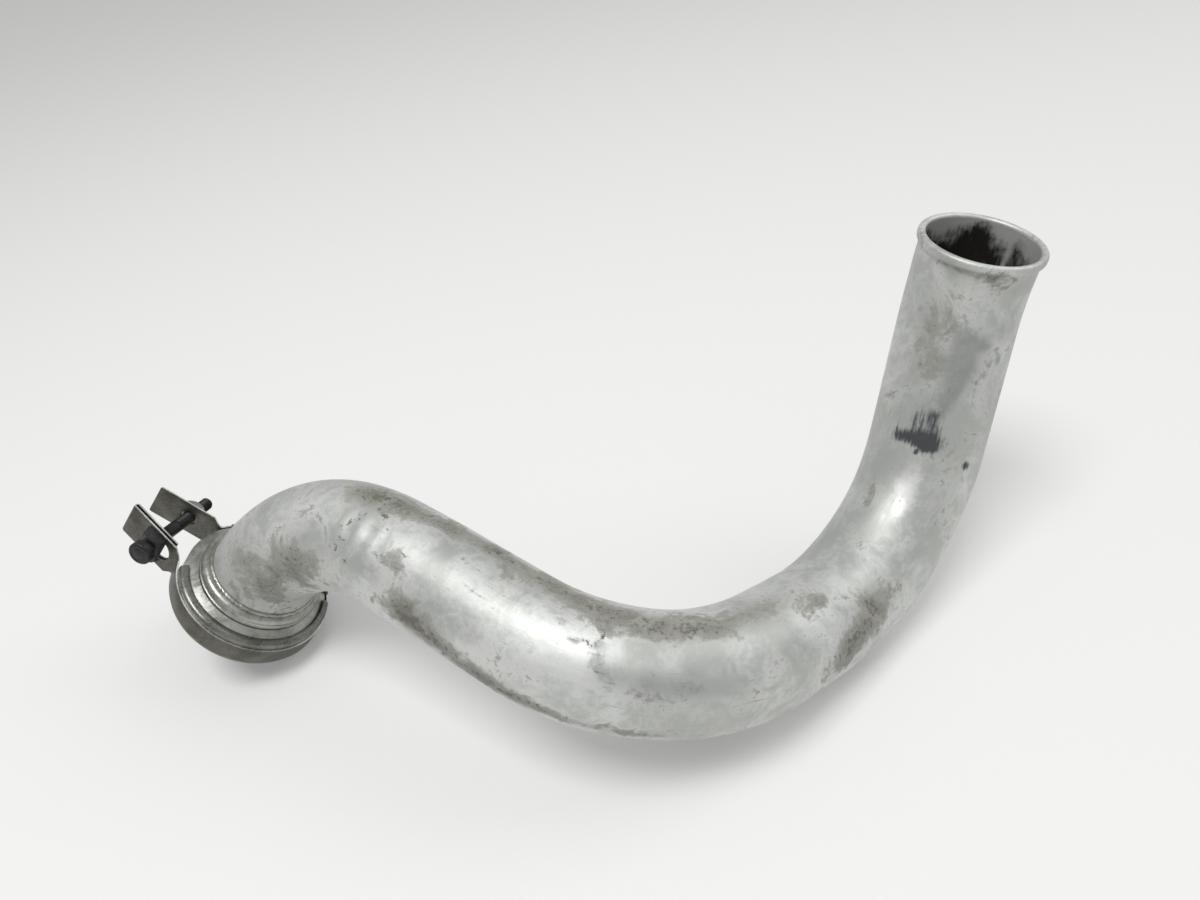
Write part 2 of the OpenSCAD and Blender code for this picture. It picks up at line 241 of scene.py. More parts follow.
class Bench:
    """A material's node tree, with short calls for the nodes that the finishes use."""

    def __init__(self, name: str) -> None:
        """Starts an empty material with one Principled shader.

        Args:
            name: the material's name.
        """
        self.material = bpy.data.materials.new(name)
        self.material.use_nodes = True
        self.tree = self.material.node_tree
        self.shader = self.tree.nodes["Principled BSDF"]
        self.place = self.tree.nodes.new("ShaderNodeTexCoord").outputs["Object"]

    def link(self, source: object, target: object) -> None:
        """Feeds a socket.

        Args:
            source: another socket, or a plain value.
            target: the socket that takes it.
        """
        if isinstance(source, bpy.types.NodeSocket):
            self.tree.links.new(source, target)
        else:
            target.default_value = source

    def stretched(self, scale: tuple[float, float, float], turn: tuple[float, float, float] = (0, 0, 0),
                  where: object = None) -> object:
        """Coordinates scaled along each axis and then turned.

        Args:
            scale: the factors along x, y and z.
            turn: the turns about x, y and z in radians.
            where: the coordinates, or None for the object's own.

        Returns:
            The new coordinates.
        """
        node = self.tree.nodes.new("ShaderNodeMapping")
        self.link(self.place if where is None else where, node.inputs["Vector"])
        node.inputs["Scale"].default_value = scale
        node.inputs["Rotation"].default_value = turn
        return node.outputs["Vector"]

    def along(self) -> object:
        """The piece's own map.

        Returns:
            Coordinates with u along the piece and v round it, both in tenths of a metre.
        """
        node = self.tree.nodes.new("ShaderNodeUVMap")
        node.uv_map = "along"
        return node.outputs["UV"]

    def noise(self, scale: float, detail: float = 4, rough: float = 0.55, twist: float = 0,
              where: object = None) -> object:
        """Fractal noise.

        Args:
            scale: about how many patches go into one unit.
            detail: number of finer layers.
            rough: strength of each layer against the one before.
            twist: how far the patches are distorted.
            where: the coordinates, or None for the object's own.

        Returns:
            Values of about 0 to 1 with a mean of one half.
        """
        node = self.tree.nodes.new("ShaderNodeTexNoise")
        self.link(self.place if where is None else where, node.inputs["Vector"])
        for key, value in (("Scale", scale), ("Detail", detail), ("Roughness", rough), ("Distortion", twist)):
            node.inputs[key].default_value = value
        return node.outputs["Fac"]

    def value(self, name: str) -> object:
        """The number stored on the piece's points.

        Args:
            name: the name that it's stored under.

        Returns:
            The number.
        """
        node = self.tree.nodes.new("ShaderNodeAttribute")
        node.attribute_name = name
        return node.outputs["Fac"]

    def math(self, kind: str, a: object, b: object) -> object:
        """One arithmetic step.

        Args:
            kind: Blender's name of the step, such as ADD.
            a: first number, a socket or plain.
            b: second number, a socket or plain.

        Returns:
            The result.
        """
        node = self.tree.nodes.new("ShaderNodeMath")
        node.operation = kind
        self.link(a, node.inputs[0])
        self.link(b, node.inputs[1])
        return node.outputs[0]

    def mean(self, a: object, b: object, share: float) -> object:
        """Adds a times (1 - share) and b times share."""
        return self.math("ADD", self.math("MULTIPLY", a, 1 - share), self.math("MULTIPLY", b, share))

    def band(self, source: object, low: float, high: float, out_low: float = 0.0,
             out_high: float = 1.0) -> object:
        """A smooth step.

        Args:
            source: the number that it follows.
            low: the source's value where the step starts.
            high: the source's value where it ends.
            out_low: the result before the step.
            out_high: the result after it.

        Returns:
            The result.
        """
        node = self.tree.nodes.new("ShaderNodeMapRange")
        node.interpolation_type = "SMOOTHSTEP"
        self.link(source, node.inputs["Value"])
        for key, value in (("From Min", low), ("From Max", high), ("To Min", out_low), ("To Max", out_high)):
            node.inputs[key].default_value = value
        return node.outputs["Result"]

    def broken(self, name: str, breaker: object, spread: float) -> object:
        """A stored number made ragged: it plus spread times (breaker - one half)."""
        swing = self.math("MULTIPLY", self.math("SUBTRACT", breaker, 0.5), spread)
        return self.math("ADD", self.value(name), swing)

    def blend(self, share: object, a: object, b: object) -> object:
        """Mixes two colours.

        Args:
            share: 0 for all of a, 1 for all of b.
            a: first colour, a socket or plain.
            b: second colour, a socket or plain.

        Returns:
            The mixed colour.
        """
        node = self.tree.nodes.new("ShaderNodeMix")
        node.data_type = "RGBA"
        self.link(share, node.inputs[0])
        for value, socket in ((a, node.inputs[6]), (b, node.inputs[7])):
            self.link((*value, 1.0) if isinstance(value, tuple) else value, socket)
        return node.outputs[2]

    def relief(self, height: object, strength: float, depth: float, under: object = None) -> object:
        """Bump from a height.

        Args:
            height: the height.
            strength: share of the bump that shows.
            depth: metres that a height of 1 stands for.
            under: normals of a bump that this one lies on, if any.

        Returns:
            The normals.
        """
        node = self.tree.nodes.new("ShaderNodeBump")
        node.inputs["Strength"].default_value = strength
        node.inputs["Distance"].default_value = depth
        self.link(height, node.inputs["Height"])
        if under is not None:
            self.link(under, node.inputs["Normal"])
        return node.outputs["Normal"]

    def finish(self, colour: object, roughness: object, normal: object,
               metallic: object) -> bpy.types.Material:
        """Feeds the shader.

        Args:
            colour: base colour.
            roughness: how matt it is.
            normal: normals with the bumps.
            metallic: share of bare metal.

        Returns:
            The material.
        """
        for key, source in (("Base Color", colour), ("Roughness", roughness), ("Normal", normal),
                            ("Metallic", metallic)):
            self.link(source, self.shader.inputs[key])
        return self.material


def darker(colour: tuple[float, float, float], share: float) -> tuple[float, float, float]:
    """A colour times a share."""
    return tuple(share * c for c in colour)


@dataclass(frozen=True)
class TubeFinish:
    """Old satin aluminium: blotchy oxide, olive dirt, graphite and grey smears, fine dark nicks, painted
    shade, a painted shadow under the bead and painted highlights.
    """

    bright: tuple[float, float, float] = (0.70, 0.71, 0.69)
    dull: tuple[float, float, float] = (0.46, 0.47, 0.45)
    olive: tuple[float, float, float] = (0.170, 0.160, 0.120)
    blue_grey: tuple[float, float, float] = (0.235, 0.245, 0.245)
    graphite: tuple[float, float, float] = (0.040, 0.045, 0.050)
    # The colour of the painted highlights
    rubbed: tuple[float, float, float] = (0.78, 0.78, 0.77)
    metallic: float = 0.60
    rough_low: float = 0.44
    rough_high: float = 0.60

    def material(self) -> bpy.types.Material:
        """Builds the material from the marks stored on the points and the map along the tube.

        Returns:
            The material.
        """
        b = Bench("tube_aluminium")
        broad, middle, fine = b.noise(11, 3, 0.5, 0.6), b.noise(36, 9, 0.68, 0.7), b.noise(210, 7, 0.7)
        streaks = b.noise(1, 5, 0.65, 0.3, b.stretched((4, 42, 1), where=b.along()))
        edge = b.mean(middle, fine, 0.3)
        colour = b.blend(b.band(b.mean(broad, edge, 0.6), 0.42, 0.58), self.dull, self.bright)
        haze = b.band(b.mean(b.noise(24, 7, 0.65, 0.9), fine, 0.25), 0.53, 0.64, 0, 0.40)
        colour = b.blend(haze, colour, b.blend(0.5, self.blue_grey, self.dull))
        # Grey smears, and painted shade on the second bend, over the last straight and under the bead
        grey_smear_and_shade = b.band(b.broken("smear_and_shade", edge, 4.5), 0.25, 1.25, 0, 0.68)
        colour = b.blend(grey_smear_and_shade, colour, self.blue_grey)
        # Olive dirt, and the painted shadow under the bead that the stored grime value also holds
        film_and_shadow = b.band(b.broken("grime_and_shadow", edge, 5.5), 0.20, 0.80, 0, 0.85)
        dirt_and_shadow = b.band(b.broken("grime_and_shadow", edge, 9.0), 0.80, 1.30, 0, 0.80)
        colour = b.blend(film_and_shadow, colour, b.blend(0.62, self.dull, self.olive))
        colour = b.blend(dirt_and_shadow, colour, b.blend(b.band(fine, 0.38, 0.62), self.olive, darker(self.dull, 0.72)))
        specks = b.band(b.broken("grime_and_shadow", fine, 6.0), 1.35, 1.8, 0, 0.7)
        colour = b.blend(specks, colour, darker(self.olive, 0.5))
        wiped = b.mean(edge, streaks, 0.6)
        pale = b.band(b.broken("graphite", wiped, 1.8), 0.12, 0.70, 0, 0.60)
        colour = b.blend(pale, colour, self.blue_grey)
        black = b.band(b.broken("graphite", wiped, 4.2), 0.30, 0.95, 0, 0.95)
        colour = b.blend(black, colour, self.graphite)
        nick = b.band(b.broken("nick", b.noise(420, 4, 0.7), 4.0), 0.70, 1.05)
        colour = b.blend(b.math("MULTIPLY", nick, 0.75), colour, darker(self.olive, 0.5))
        # Painted highlights: lighter, less rough spots beside the nicks and on the third bend
        bare_metal_and_highlight = b.band(b.broken("bare_metal_and_highlight", edge, 1.6), 0.3, 0.9)
        colour = b.blend(b.math("MULTIPLY", bare_metal_and_highlight, 0.6), colour, self.rubbed)
        soiled = b.math("MAXIMUM", b.math("MAXIMUM", dirt_and_shadow, film_and_shadow), black)
        satin = b.band(b.mean(edge, streaks, 0.25), 0.35, 0.65, self.rough_low, self.rough_high)
        rough = b.math("ADD", satin, b.math("MULTIPLY", soiled, 0.22))
        rough = b.math("SUBTRACT", rough, b.math("MULTIPLY", bare_metal_and_highlight, 0.10))
        bare = b.math("MULTIPLY", b.math("SUBTRACT", 1.0, b.math("MULTIPLY", soiled, 0.8)), self.metallic)
        grain = b.relief(b.noise(800, 3, 0.6), 0.12, 0.0004)
        lumps = b.relief(b.noise(60, 4, 0.55), 0.10, 0.003, grain)
        pits = b.relief(b.math("SUBTRACT", 1.0, nick), 0.5, 0.0006, lumps)
        return b.finish(colour, rough, pits, bare)


@dataclass(frozen=True)
class BoreFinish:
    """The tube's inside: oily soot with grey metal coming through near the rim."""

    soot: tuple[float, float, float] = (0.016, 0.015, 0.0135)
    metal: tuple[float, float, float] = (0.46, 0.46, 0.44)
    metallic: float = 0.3
    shine: float = 0.12

    def material(self) -> bpy.types.Material:
        """Builds the material, which reads the point value bare_metal_and_highlight as the share of bare
        metal.

        Returns:
            The material.
        """
        b = Bench("tube_bore")
        b.shader.inputs["Specular IOR Level"].default_value = self.shine
        streaks = b.noise(1, 4, 0.6, 0.4, b.stretched((9, 34, 1), where=b.along()))
        flaky = b.mean(b.noise(90, 5, 0.6, 0.5), streaks, 0.35)
        bare = b.band(b.broken("bare_metal_and_highlight", flaky, 3.0), 0.12, 1.30)
        rough = b.band(b.noise(120, 3), 0.3, 0.7, 0.60, 0.80)
        grain = b.relief(b.noise(300, 3), 0.3, 0.0006)
        colour = b.blend(bare, self.soot, self.metal)
        return b.finish(colour, rough, grain, b.math("MULTIPLY", bare, self.metallic))


@dataclass(frozen=True)
class SheetFinish:
    """Rolled, turned, blackened or plated metal with stains, scratches and dust, or rubber."""

    kind: Metal
    light: tuple[float, float, float]
    dark: tuple[float, float, float]
    metallic: float
    rough_low: float
    rough_high: float
    scratch: float = 0.1
    dust: tuple[float, float, float] = (0.24, 0.23, 0.195)

    def material(self) -> bpy.types.Material:
        """Builds the material from object coordinates; its fine lines lie level.

        Returns:
            The material.
        """
        b = Bench(f"{self.kind.value}_metal")
        tilt = np.radians(REST.tilt)
        broad, fine = b.noise(55, 5, 0.6, 0.4), b.noise(480, 5, 0.65)
        lines = b.noise(1, 4, 0.6, where=b.stretched((60, 60, 1500), (0, -tilt, 0)))
        mixed = b.mean(broad, b.mean(fine, lines, 0.45), 0.5)
        colour = b.blend(b.band(mixed, 0.38, 0.62), self.dark, self.light)
        stain = b.band(b.mean(b.noise(34, 6, 0.65, 0.6), fine, 0.3), 0.54, 0.66, 0, 0.62)
        colour = b.blend(stain, colour, darker(self.dark, 0.4))
        dusty = b.band(b.mean(b.noise(75, 5, 0.6, 0.5), fine, 0.4), 0.56, 0.68, 0, 0.35)
        colour = b.blend(dusty, colour, self.dust)
        clean = b.band(b.mean(mixed, lines, 0.5), 0.35, 0.65, self.rough_low, self.rough_high)
        rough = b.math("ADD", clean, b.math("MULTIPLY", b.math("MAXIMUM", stain, dusty), 0.25))
        relief = b.relief(lines, self.scratch, 0.0003, b.relief(b.mean(fine, broad, 0.4), 0.16, 0.0005))
        return b.finish(colour, rough, relief, self.metallic)


FINISHES = {finish.kind: finish for finish in (
    SheetFinish(Metal.TURNED, (0.50, 0.50, 0.47), (0.27, 0.27, 0.24), 0.88, 0.26, 0.44, 0.06),
    SheetFinish(Metal.SHEET, (0.26, 0.26, 0.24), (0.135, 0.135, 0.12), 0.92, 0.24, 0.40, 0.06),
    SheetFinish(Metal.STRAP, (0.175, 0.17, 0.148), (0.080, 0.078, 0.064), 0.86, 0.32, 0.50, 0.08),
    SheetFinish(Metal.EDGE, (0.80, 0.80, 0.77), (0.50, 0.50, 0.46), 0.85, 0.34, 0.50, 0.05),
    SheetFinish(Metal.BLACKENED, (0.040, 0.040, 0.040), (0.014, 0.014, 0.014), 0.5, 0.34, 0.56),
    SheetFinish(Metal.PLATED, (0.42, 0.42, 0.40), (0.24, 0.24, 0.23), 0.85, 0.34, 0.55),
    SheetFinish(Metal.RUBBER, (0.022, 0.022, 0.022), (0.012, 0.012, 0.012), 0.0, 0.55, 0.75),
)}


def dress(piece: bpy.types.Object, materials: Sequence[bpy.types.Material]) -> None:
    """Gives a piece its materials in place of any it has.

    Args:
        piece: the piece.
        materials: its materials, in the order of its faces' material numbers.
    """
    piece.data.materials.clear()
    for material in materials:
        piece.data.materials.append(material)
    log.info("%s: %d faces, %s", piece.name, len(piece.data.polygons), ", ".join(m.name for m in materials))


# The tube


@dataclass(frozen=True)
class Mark:
    """A soft patch on the tube: its place in mm along and degrees round it, its half sizes and strength."""

    run: float
    turn: float
    half_run: float
    half_turn: float
    strength: float

    def field(self, run: np.ndarray, turn: np.ndarray) -> np.ndarray:
        """The strength times exp(-u^2 - v^2), with u and v the distances in half sizes."""
        off = (turn - self.turn + 180) % 360 - 180
        return self.strength * np.exp(-((run - self.run) / self.half_run) ** 2 - (off / self.half_turn) ** 2)


def marks(*rows: tuple[float, float, float, float, float]) -> tuple[Mark, ...]:
    """Makes a mark of each row: place along, place round, the two half sizes, and the strength."""
    return tuple(Mark(*row) for row in rows)


# Olive dirt in patches, and a painted shadow under the bead; a strength under 0 keeps a place clean
GRIME_AND_SHADOW = marks(
    (48, 285, 22, 48, 0.85), (112, 279, 24, 22, 0.85), (80, 290, 28, 28, 0.60), (98, 304, 14, 24, 0.6),
    (146, 193, 17, 17, 1.20), (168, 185, 24, 14, 1.10), (202, 178, 26, 12, 0.95), (190, 241, 15, 14, 0.6),
    (238, 173, 19, 13, 1.30), (278, 176, 24, 16, 1.20), (312, 181, 22, 13, 0.90), (346, 192, 34, 18, 1.20),
    (386, 196, 26, 13, 0.95), (433, 188, 32, 14, 0.90), (517, 240, 20, 20, 1.25), (479, 265, 17, 14, 1.20),
    (498, 252, 22, 13, 0.85), (470, 205, 18, 9, 0.6), (207, 283, 18, 13, 1.10), (234, 289, 22, 13, 1.30),
    (270, 301, 30, 13, 1.20), (212, 270, 17, 15, 0.85), (306, 299, 26, 10, 0.90), (350, 300, 28, 8, 0.6),
    # (804, 190, ...) is the painted shadow under the bead
    (733, 184, 24, 19, 0.80), (760, 192, 22, 18, 0.60), (804, 190, 3.5, 44, 0.60), (640, 168, 30, 8, 0.5),
    (60, 60, 30, 40, 0.6), (230, 40, 40, 30, 0.8), (410, 20, 40, 26, 0.8), (600, 60, 40, 30, 0.7),
    (720, 330, 30, 30, 0.7), (340, 350, 30, 24, 0.7), (520, 350, 24, 30, 0.6), (140, 110, 30, 24, 0.6),
    (238, 221, 20, 14, -1.0), (325, 238, 13, 22, -0.9),
)
# Grey smears, and painted shade on the second bend, over the last straight and under the bead
SMEAR_AND_SHADE = marks(
    # (738, 212, ...) is painted shade over the last straight
    (746, 216, 5, 7, 1.05), (742, 237, 4, 8, 0.80), (758, 253, 7, 6, 0.60), (738, 212, 36, 46, 0.75),
    (734, 258, 4, 3, 1.0), (742, 271, 4, 3, 0.8), (726, 226, 11, 9, 0.55), (710, 220, 12, 7, 0.60),
    # (800, 226, ...) is a painted shadow under the bead; (340, 240, ...) and (380, 248, ...) are painted
    # shade on the second bend
    (695, 214, 9, 5, 0.55), (761, 168, 3, 4, 0.75), (800, 226, 1.6, 14, 0.80), (340, 240, 26, 14, 0.80),
    (380, 248, 30, 13, 0.70), (322, 222, 10, 5, 0.7), (720, 214, 20, 16, 0.4), (692, 200, 12, 16, 0.6),
    (672, 200, 9, 24, 0.5), (160, 30, 30, 20, 0.5), (560, 300, 30, 16, 0.5),
)
# Graphite smudges
GRAPHITE = marks(
    (672, 179, 5, 9, 0.80), (673, 193, 5, 11, 0.85), (669.5, 210, 6, 10, 1.35), (678, 205, 9, 15, 0.75),
    (687, 190, 6, 5, 0.50), (690, 206, 6, 10, 0.60), (661.5, 199.6, 2.4, 1.3, 1.8),
    (658.5, 253, 3.4, 4.5, 1.2),
)
# Dark nicks
NICK = marks(
    (144, 236, 2.4, 3.0, 1.0), (146, 257, 2.2, 4, 1.1), (155, 265, 3, 4, 1.1), (147, 247, 2.0, 4, 0.9),
    (152, 222, 2.0, 5, 0.9), (148, 230, 1.6, 4, 0.9), (154, 216, 1.8, 3, 0.9), (164, 208, 2.8, 3.2, 1.3),
    (171, 219, 4.0, 1.4, 1.0), (193, 231, 2.0, 2.2, 1.4), (158, 203, 2.4, 4, 1.0),
    (178, 243, 2.0, 2.6, 1.0), (150, 248, 2, 3, 0.9), (240, 176, 4, 2, 1.0), (322, 222, 6, 1.8, 1.0),
    (328, 214, 2.4, 4, 1.0), (466, 262, 3, 2, 1.0), (36, 290, 2.0, 1.6, 0.9), (44, 338, 2.2, 1.6, 0.9),
)
# Painted highlights: lighter spots beside the nicks and on the third bend
PAINTED_HIGHLIGHTS = marks(
    (150, 241, 5, 8, 0.8), (164, 234, 5, 9, 0.8), (184, 232, 12, 7, 0.5), (280, 208, 26, 8, 0.6),
    (345, 218, 8, 6, 0.7), (636, 200, 28, 16, 0.7), (606, 204, 8, 5, 0.7), (590, 215, 40, 26, 0.4),
)
# Grey metal that shows inside the mouth
BARE = marks(
    (813, 40, 8, 300, 1.30), (806, 76, 10, 22, 1.10), (804, 322, 15, 26, 1.20), (803, 8, 9, 12, 0.90),
    (770, 20, 8, 20, 0.45), (786, 356, 22, 3, 0.80),
)


@dataclass(frozen=True)
class Tube:
    """The bent tube with its rolled bead."""

    radius: float = 40.0
    bore: float = 37.5
    draw: float = 0.05
    bend_r: float = 130.0
    seat_z: float = 10.712
    legs: tuple[float, ...] = (17.0, 113.0, 44.0, 80.0, 9.3)
    bends: tuple[float, ...] = (65.5, 73.5, 79.0, 24.0)
    rolls: tuple[float, ...] = (0.0, 103.5, 77.0, 40.0)
    nose_r: float = 2.65
    bead_rise: float = 2.5
    bead_crown: float = 1.5
    bead_gap: float = 0.4
    around: int = 150
    outside_rows: int = 545
    bore_rows: int = 70
    bore_crowding: float = 1.6
    wave_depth: float = 0.22
    wave_level: float = 1.6
    crease: Mark = Mark(158, 236, 18, 22, 0.45)
    crease_pitch: float = 13.0
    even_start: float = 22.0
    even_end: float = 12.0
    fade: float = 20.0

    def route(self, s: np.ndarray) -> tuple[np.ndarray, np.ndarray]:
        """The centreline in the flange frame, and the frame carried along it without twist.

        A straight adds distance times its direction. A bend of radius R turns the frame about the
        bend's own axis: the centre moves by R (1 - cos a) towards the bend and R sin a ahead.

        Args:
            s: distances along the centreline in millimetres.

        Returns:
            Points n by 3, and frames n by 3 by 3 whose columns are two normals and the tangent.
        """
        points, frames = np.zeros((len(s), 3)), np.zeros((len(s), 3, 3))
        at, turn, start = np.array([0.0, 0.0, self.seat_z]), np.eye(3), 0.0
        heading = 0.0
        for i, leg in enumerate(self.legs):
            on = (s >= start) if i == len(self.legs) - 1 else (s >= start) & (s < start + leg)
            points[on] = at + (s[on] - start)[:, None] * turn[:, 2]
            frames[on] = turn
            at, start = at + leg * turn[:, 2], start + leg
            if i == len(self.bends):
                break
            heading += np.radians(self.rolls[i])
            towards = turn @ np.array([np.cos(heading), np.sin(heading), 0])
            ahead, axis = turn[:, 2].copy(), np.cross(turn[:, 2], towards)
            full = np.radians(self.bends[i])
            on = (s >= start) & (s < start + full * self.bend_r)
            a = (s[on] - start) / self.bend_r
            points[on] = at + self.bend_r * ((1 - np.cos(a))[:, None] * towards + np.sin(a)[:, None] * ahead)
            frames[on] = self.spin(axis, a) @ turn
            at = at + self.bend_r * ((1 - np.cos(full)) * towards + np.sin(full) * ahead)
            turn, start = self.spin(axis, np.array([full]))[0] @ turn, start + full * self.bend_r
        return points, frames

    @staticmethod
    def spin(axis: np.ndarray, angles: np.ndarray) -> np.ndarray:
        """Turns about an axis by each angle: cos a I + sin a [k] + (1 - cos a) k k.

        Args:
            axis: the axis k, of length 1.
            angles: the angles a in radians.

        Returns:
            A matrix of 3 by 3 for each angle.
        """
        k = np.array([[0, -axis[2], axis[1]], [axis[2], 0, -axis[0]], [-axis[1], axis[0], 0]])
        c, s = np.cos(angles)[:, None, None], np.sin(angles)[:, None, None]
        return c * np.eye(3) + s * k + (1 - c) * np.outer(axis, axis)

    def length(self) -> float:
        """The centreline's whole length in millimetres."""
        return sum(self.legs) + self.bend_r * float(np.radians(sum(self.bends)))

    def profile(self) -> tuple[np.ndarray, np.ndarray, int]:
        """Rows of the surface as (distance along, radius), outside, over the bead and back inside.

        Returns:
            Distances, radii, and the number of the first row that belongs to the bore.
        """
        end = self.length()
        crown = self.radius + self.bead_rise - self.nose_r
        foot, nose = end - self.nose_r - self.bead_crown, end - self.nose_r
        outside = np.linspace(0, foot - self.nose_r - self.bead_gap, self.outside_rows)
        bead = np.concatenate([arc((foot, crown), self.nose_r, 176, 90, 8),
                               arc((nose, crown), self.nose_r, 90, -62.5, 14)])
        inside = nose - np.linspace(0, 1, self.bore_rows) ** self.bore_crowding * nose
        s = np.concatenate([outside, bead[:, 0], inside])
        r = np.concatenate([np.full(len(outside), self.radius - self.draw), bead[:, 1],
                            np.full(len(inside), self.bore)])
        return s, r, len(outside) + len(bead)

    def dents(self, run: np.ndarray, angle: np.ndarray) -> np.ndarray:
        """How far the outside is pressed in: broad waves, and creases on the first bend.

        The waves fade out towards both ends, which stay round.

        Args:
            run: distances along the tube.
            angle: degrees round it.

        Returns:
            Depths in millimetres, 0 or less.
        """
        far_end = np.clip((self.length() - self.even_end - run) / self.fade, 0, 1)
        near_end = np.clip((run - self.even_start) / self.fade, 0, 1)
        uneven = waves(run / 100, np.cos(np.radians(angle)), seed=4, count=9, low=0.3, high=1.4)
        broad = self.wave_depth * (uneven - self.wave_level) * far_end * near_end
        creases = self.crease.field(run, angle) * (np.cos(2 * np.pi * run / self.crease_pitch) - 1)
        return np.minimum(broad, 0) + creases

    def build(self) -> bpy.types.Object:
        """Carries a circle along the route: centre plus radius, less the dents, times (cos t N + sin t B).

        Returns:
            The tube, in place of its node.
        """
        s, r, first_bore = self.profile()
        centre, frames = self.route(np.clip(s, 0, self.length()))
        turn = np.linspace(0, 360, self.around, endpoint=False)
        t = np.radians(turn)
        run, angle = np.meshgrid(s, turn, indexing="ij")
        outside = np.arange(len(s))[:, None] < first_bore
        radius = r[:, None] + np.where(outside, self.dents(run, angle), 0)
        ring = np.cos(t)[:, None] * frames[:, None, :, 0] + np.sin(t)[:, None] * frames[:, None, :, 1]
        points = centre[:, None] + radius[:, :, None] * ring
        faces = grid_faces(len(s), self.around, True, True)
        piece = mesh_object("tube_shell", REST.place(points.reshape(-1, 3)), faces)
        # Stored values: olive dirt with a painted shadow under the bead, grey smears with painted shade,
        # graphite, nicks, and painted highlights outside with bare metal in the bore
        for name, spots in (("grime_and_shadow", GRIME_AND_SHADOW), ("smear_and_shade", SMEAR_AND_SHADE), ("graphite", GRAPHITE), ("nick", NICK)):
            point_value(piece, name, sum(m.field(run, angle) for m in spots))
        rubbed, bare = (sum(m.field(run, angle) for m in spots) for spots in (PAINTED_HIGHLIGHTS, BARE))
        point_value(piece, "bare_metal_and_highlight", np.where(outside, rubbed, bare))
        self.map_along(piece, run, angle)
        dress(piece, [TubeFinish().material(), BoreFinish().material()])
        row = faces[:, 0] // self.around
        in_bore = (row >= first_bore) & (row < len(s) - 1)
        piece.data.polygons.foreach_set("material_index", in_bore.astype(np.int32))
        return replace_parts(piece, "charge_pipe")

    def map_along(self, piece: bpy.types.Object, run: np.ndarray, angle: np.ndarray) -> None:
        """Maps the piece: u is the distance along it and v the distance round it, in tenths of a metre.

        Args:
            piece: the tube.
            run: each point's distance along it.
            angle: each point's degrees round it.
        """
        corner = np.empty(len(piece.data.loops), np.int32)
        piece.data.loops.foreach_get("vertex_index", corner)
        u, v = run.ravel()[corner] / 100, np.radians(angle.ravel()[corner]) * self.radius / 100
        layer = piece.data.uv_layers.new(name="along")
        layer.data.foreach_set("uv", np.stack([u, v], 1).astype(np.float32).ravel())


# Flange and clamp


@dataclass(frozen=True)
class Revolved:
    """A ring or part of a ring: an outline in (radius, height) carried round the flange axis."""

    name: str
    node: str
    record_slot: str
    outline: np.ndarray
    start: float = 0.0
    sweep: float = 360.0
    steps: int = 240
    ripple: float = 0.0
    ripple_reach: float = 8.0

    def build(self, material: bpy.types.Material) -> bpy.types.Object:
        """Each outline point (r, z) goes to (r cos a, r sin a, z) for the angles a of the sweep.

        Args:
            material: the ring's material.

        Returns:
            The new piece, in place of its node.
        """
        whole = abs(self.sweep) >= 360
        a = np.radians(self.start + np.linspace(0, self.sweep, self.steps, endpoint=not whole))
        r, z = self.outline[:, 0], self.outline[:, 1]
        east, north = self.ripple_reach * np.cos(a), self.ripple_reach * np.sin(a)
        uneven = waves(east, north, seed=3, count=7, low=0.6, high=2.5)
        wave = 1 - self.ripple * (0.5 + 0.5 * uneven)
        low = r.min()
        radius = low + np.outer(wave, r - low)
        points = np.stack([np.cos(a)[:, None] * radius, np.sin(a)[:, None] * radius,
                           np.broadcast_to(z, radius.shape)], 2)
        n = len(r)
        faces = [list(f) for f in grid_faces(len(a), n, whole, True)]
        if not whole:
            faces += [list(range(n))[::-1], list(range((len(a) - 1) * n, len(a) * n))]
        piece = mesh_object(self.name, REST.place(points.reshape(-1, 3)), faces)
        dress(piece, [material])
        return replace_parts(piece, self.node)


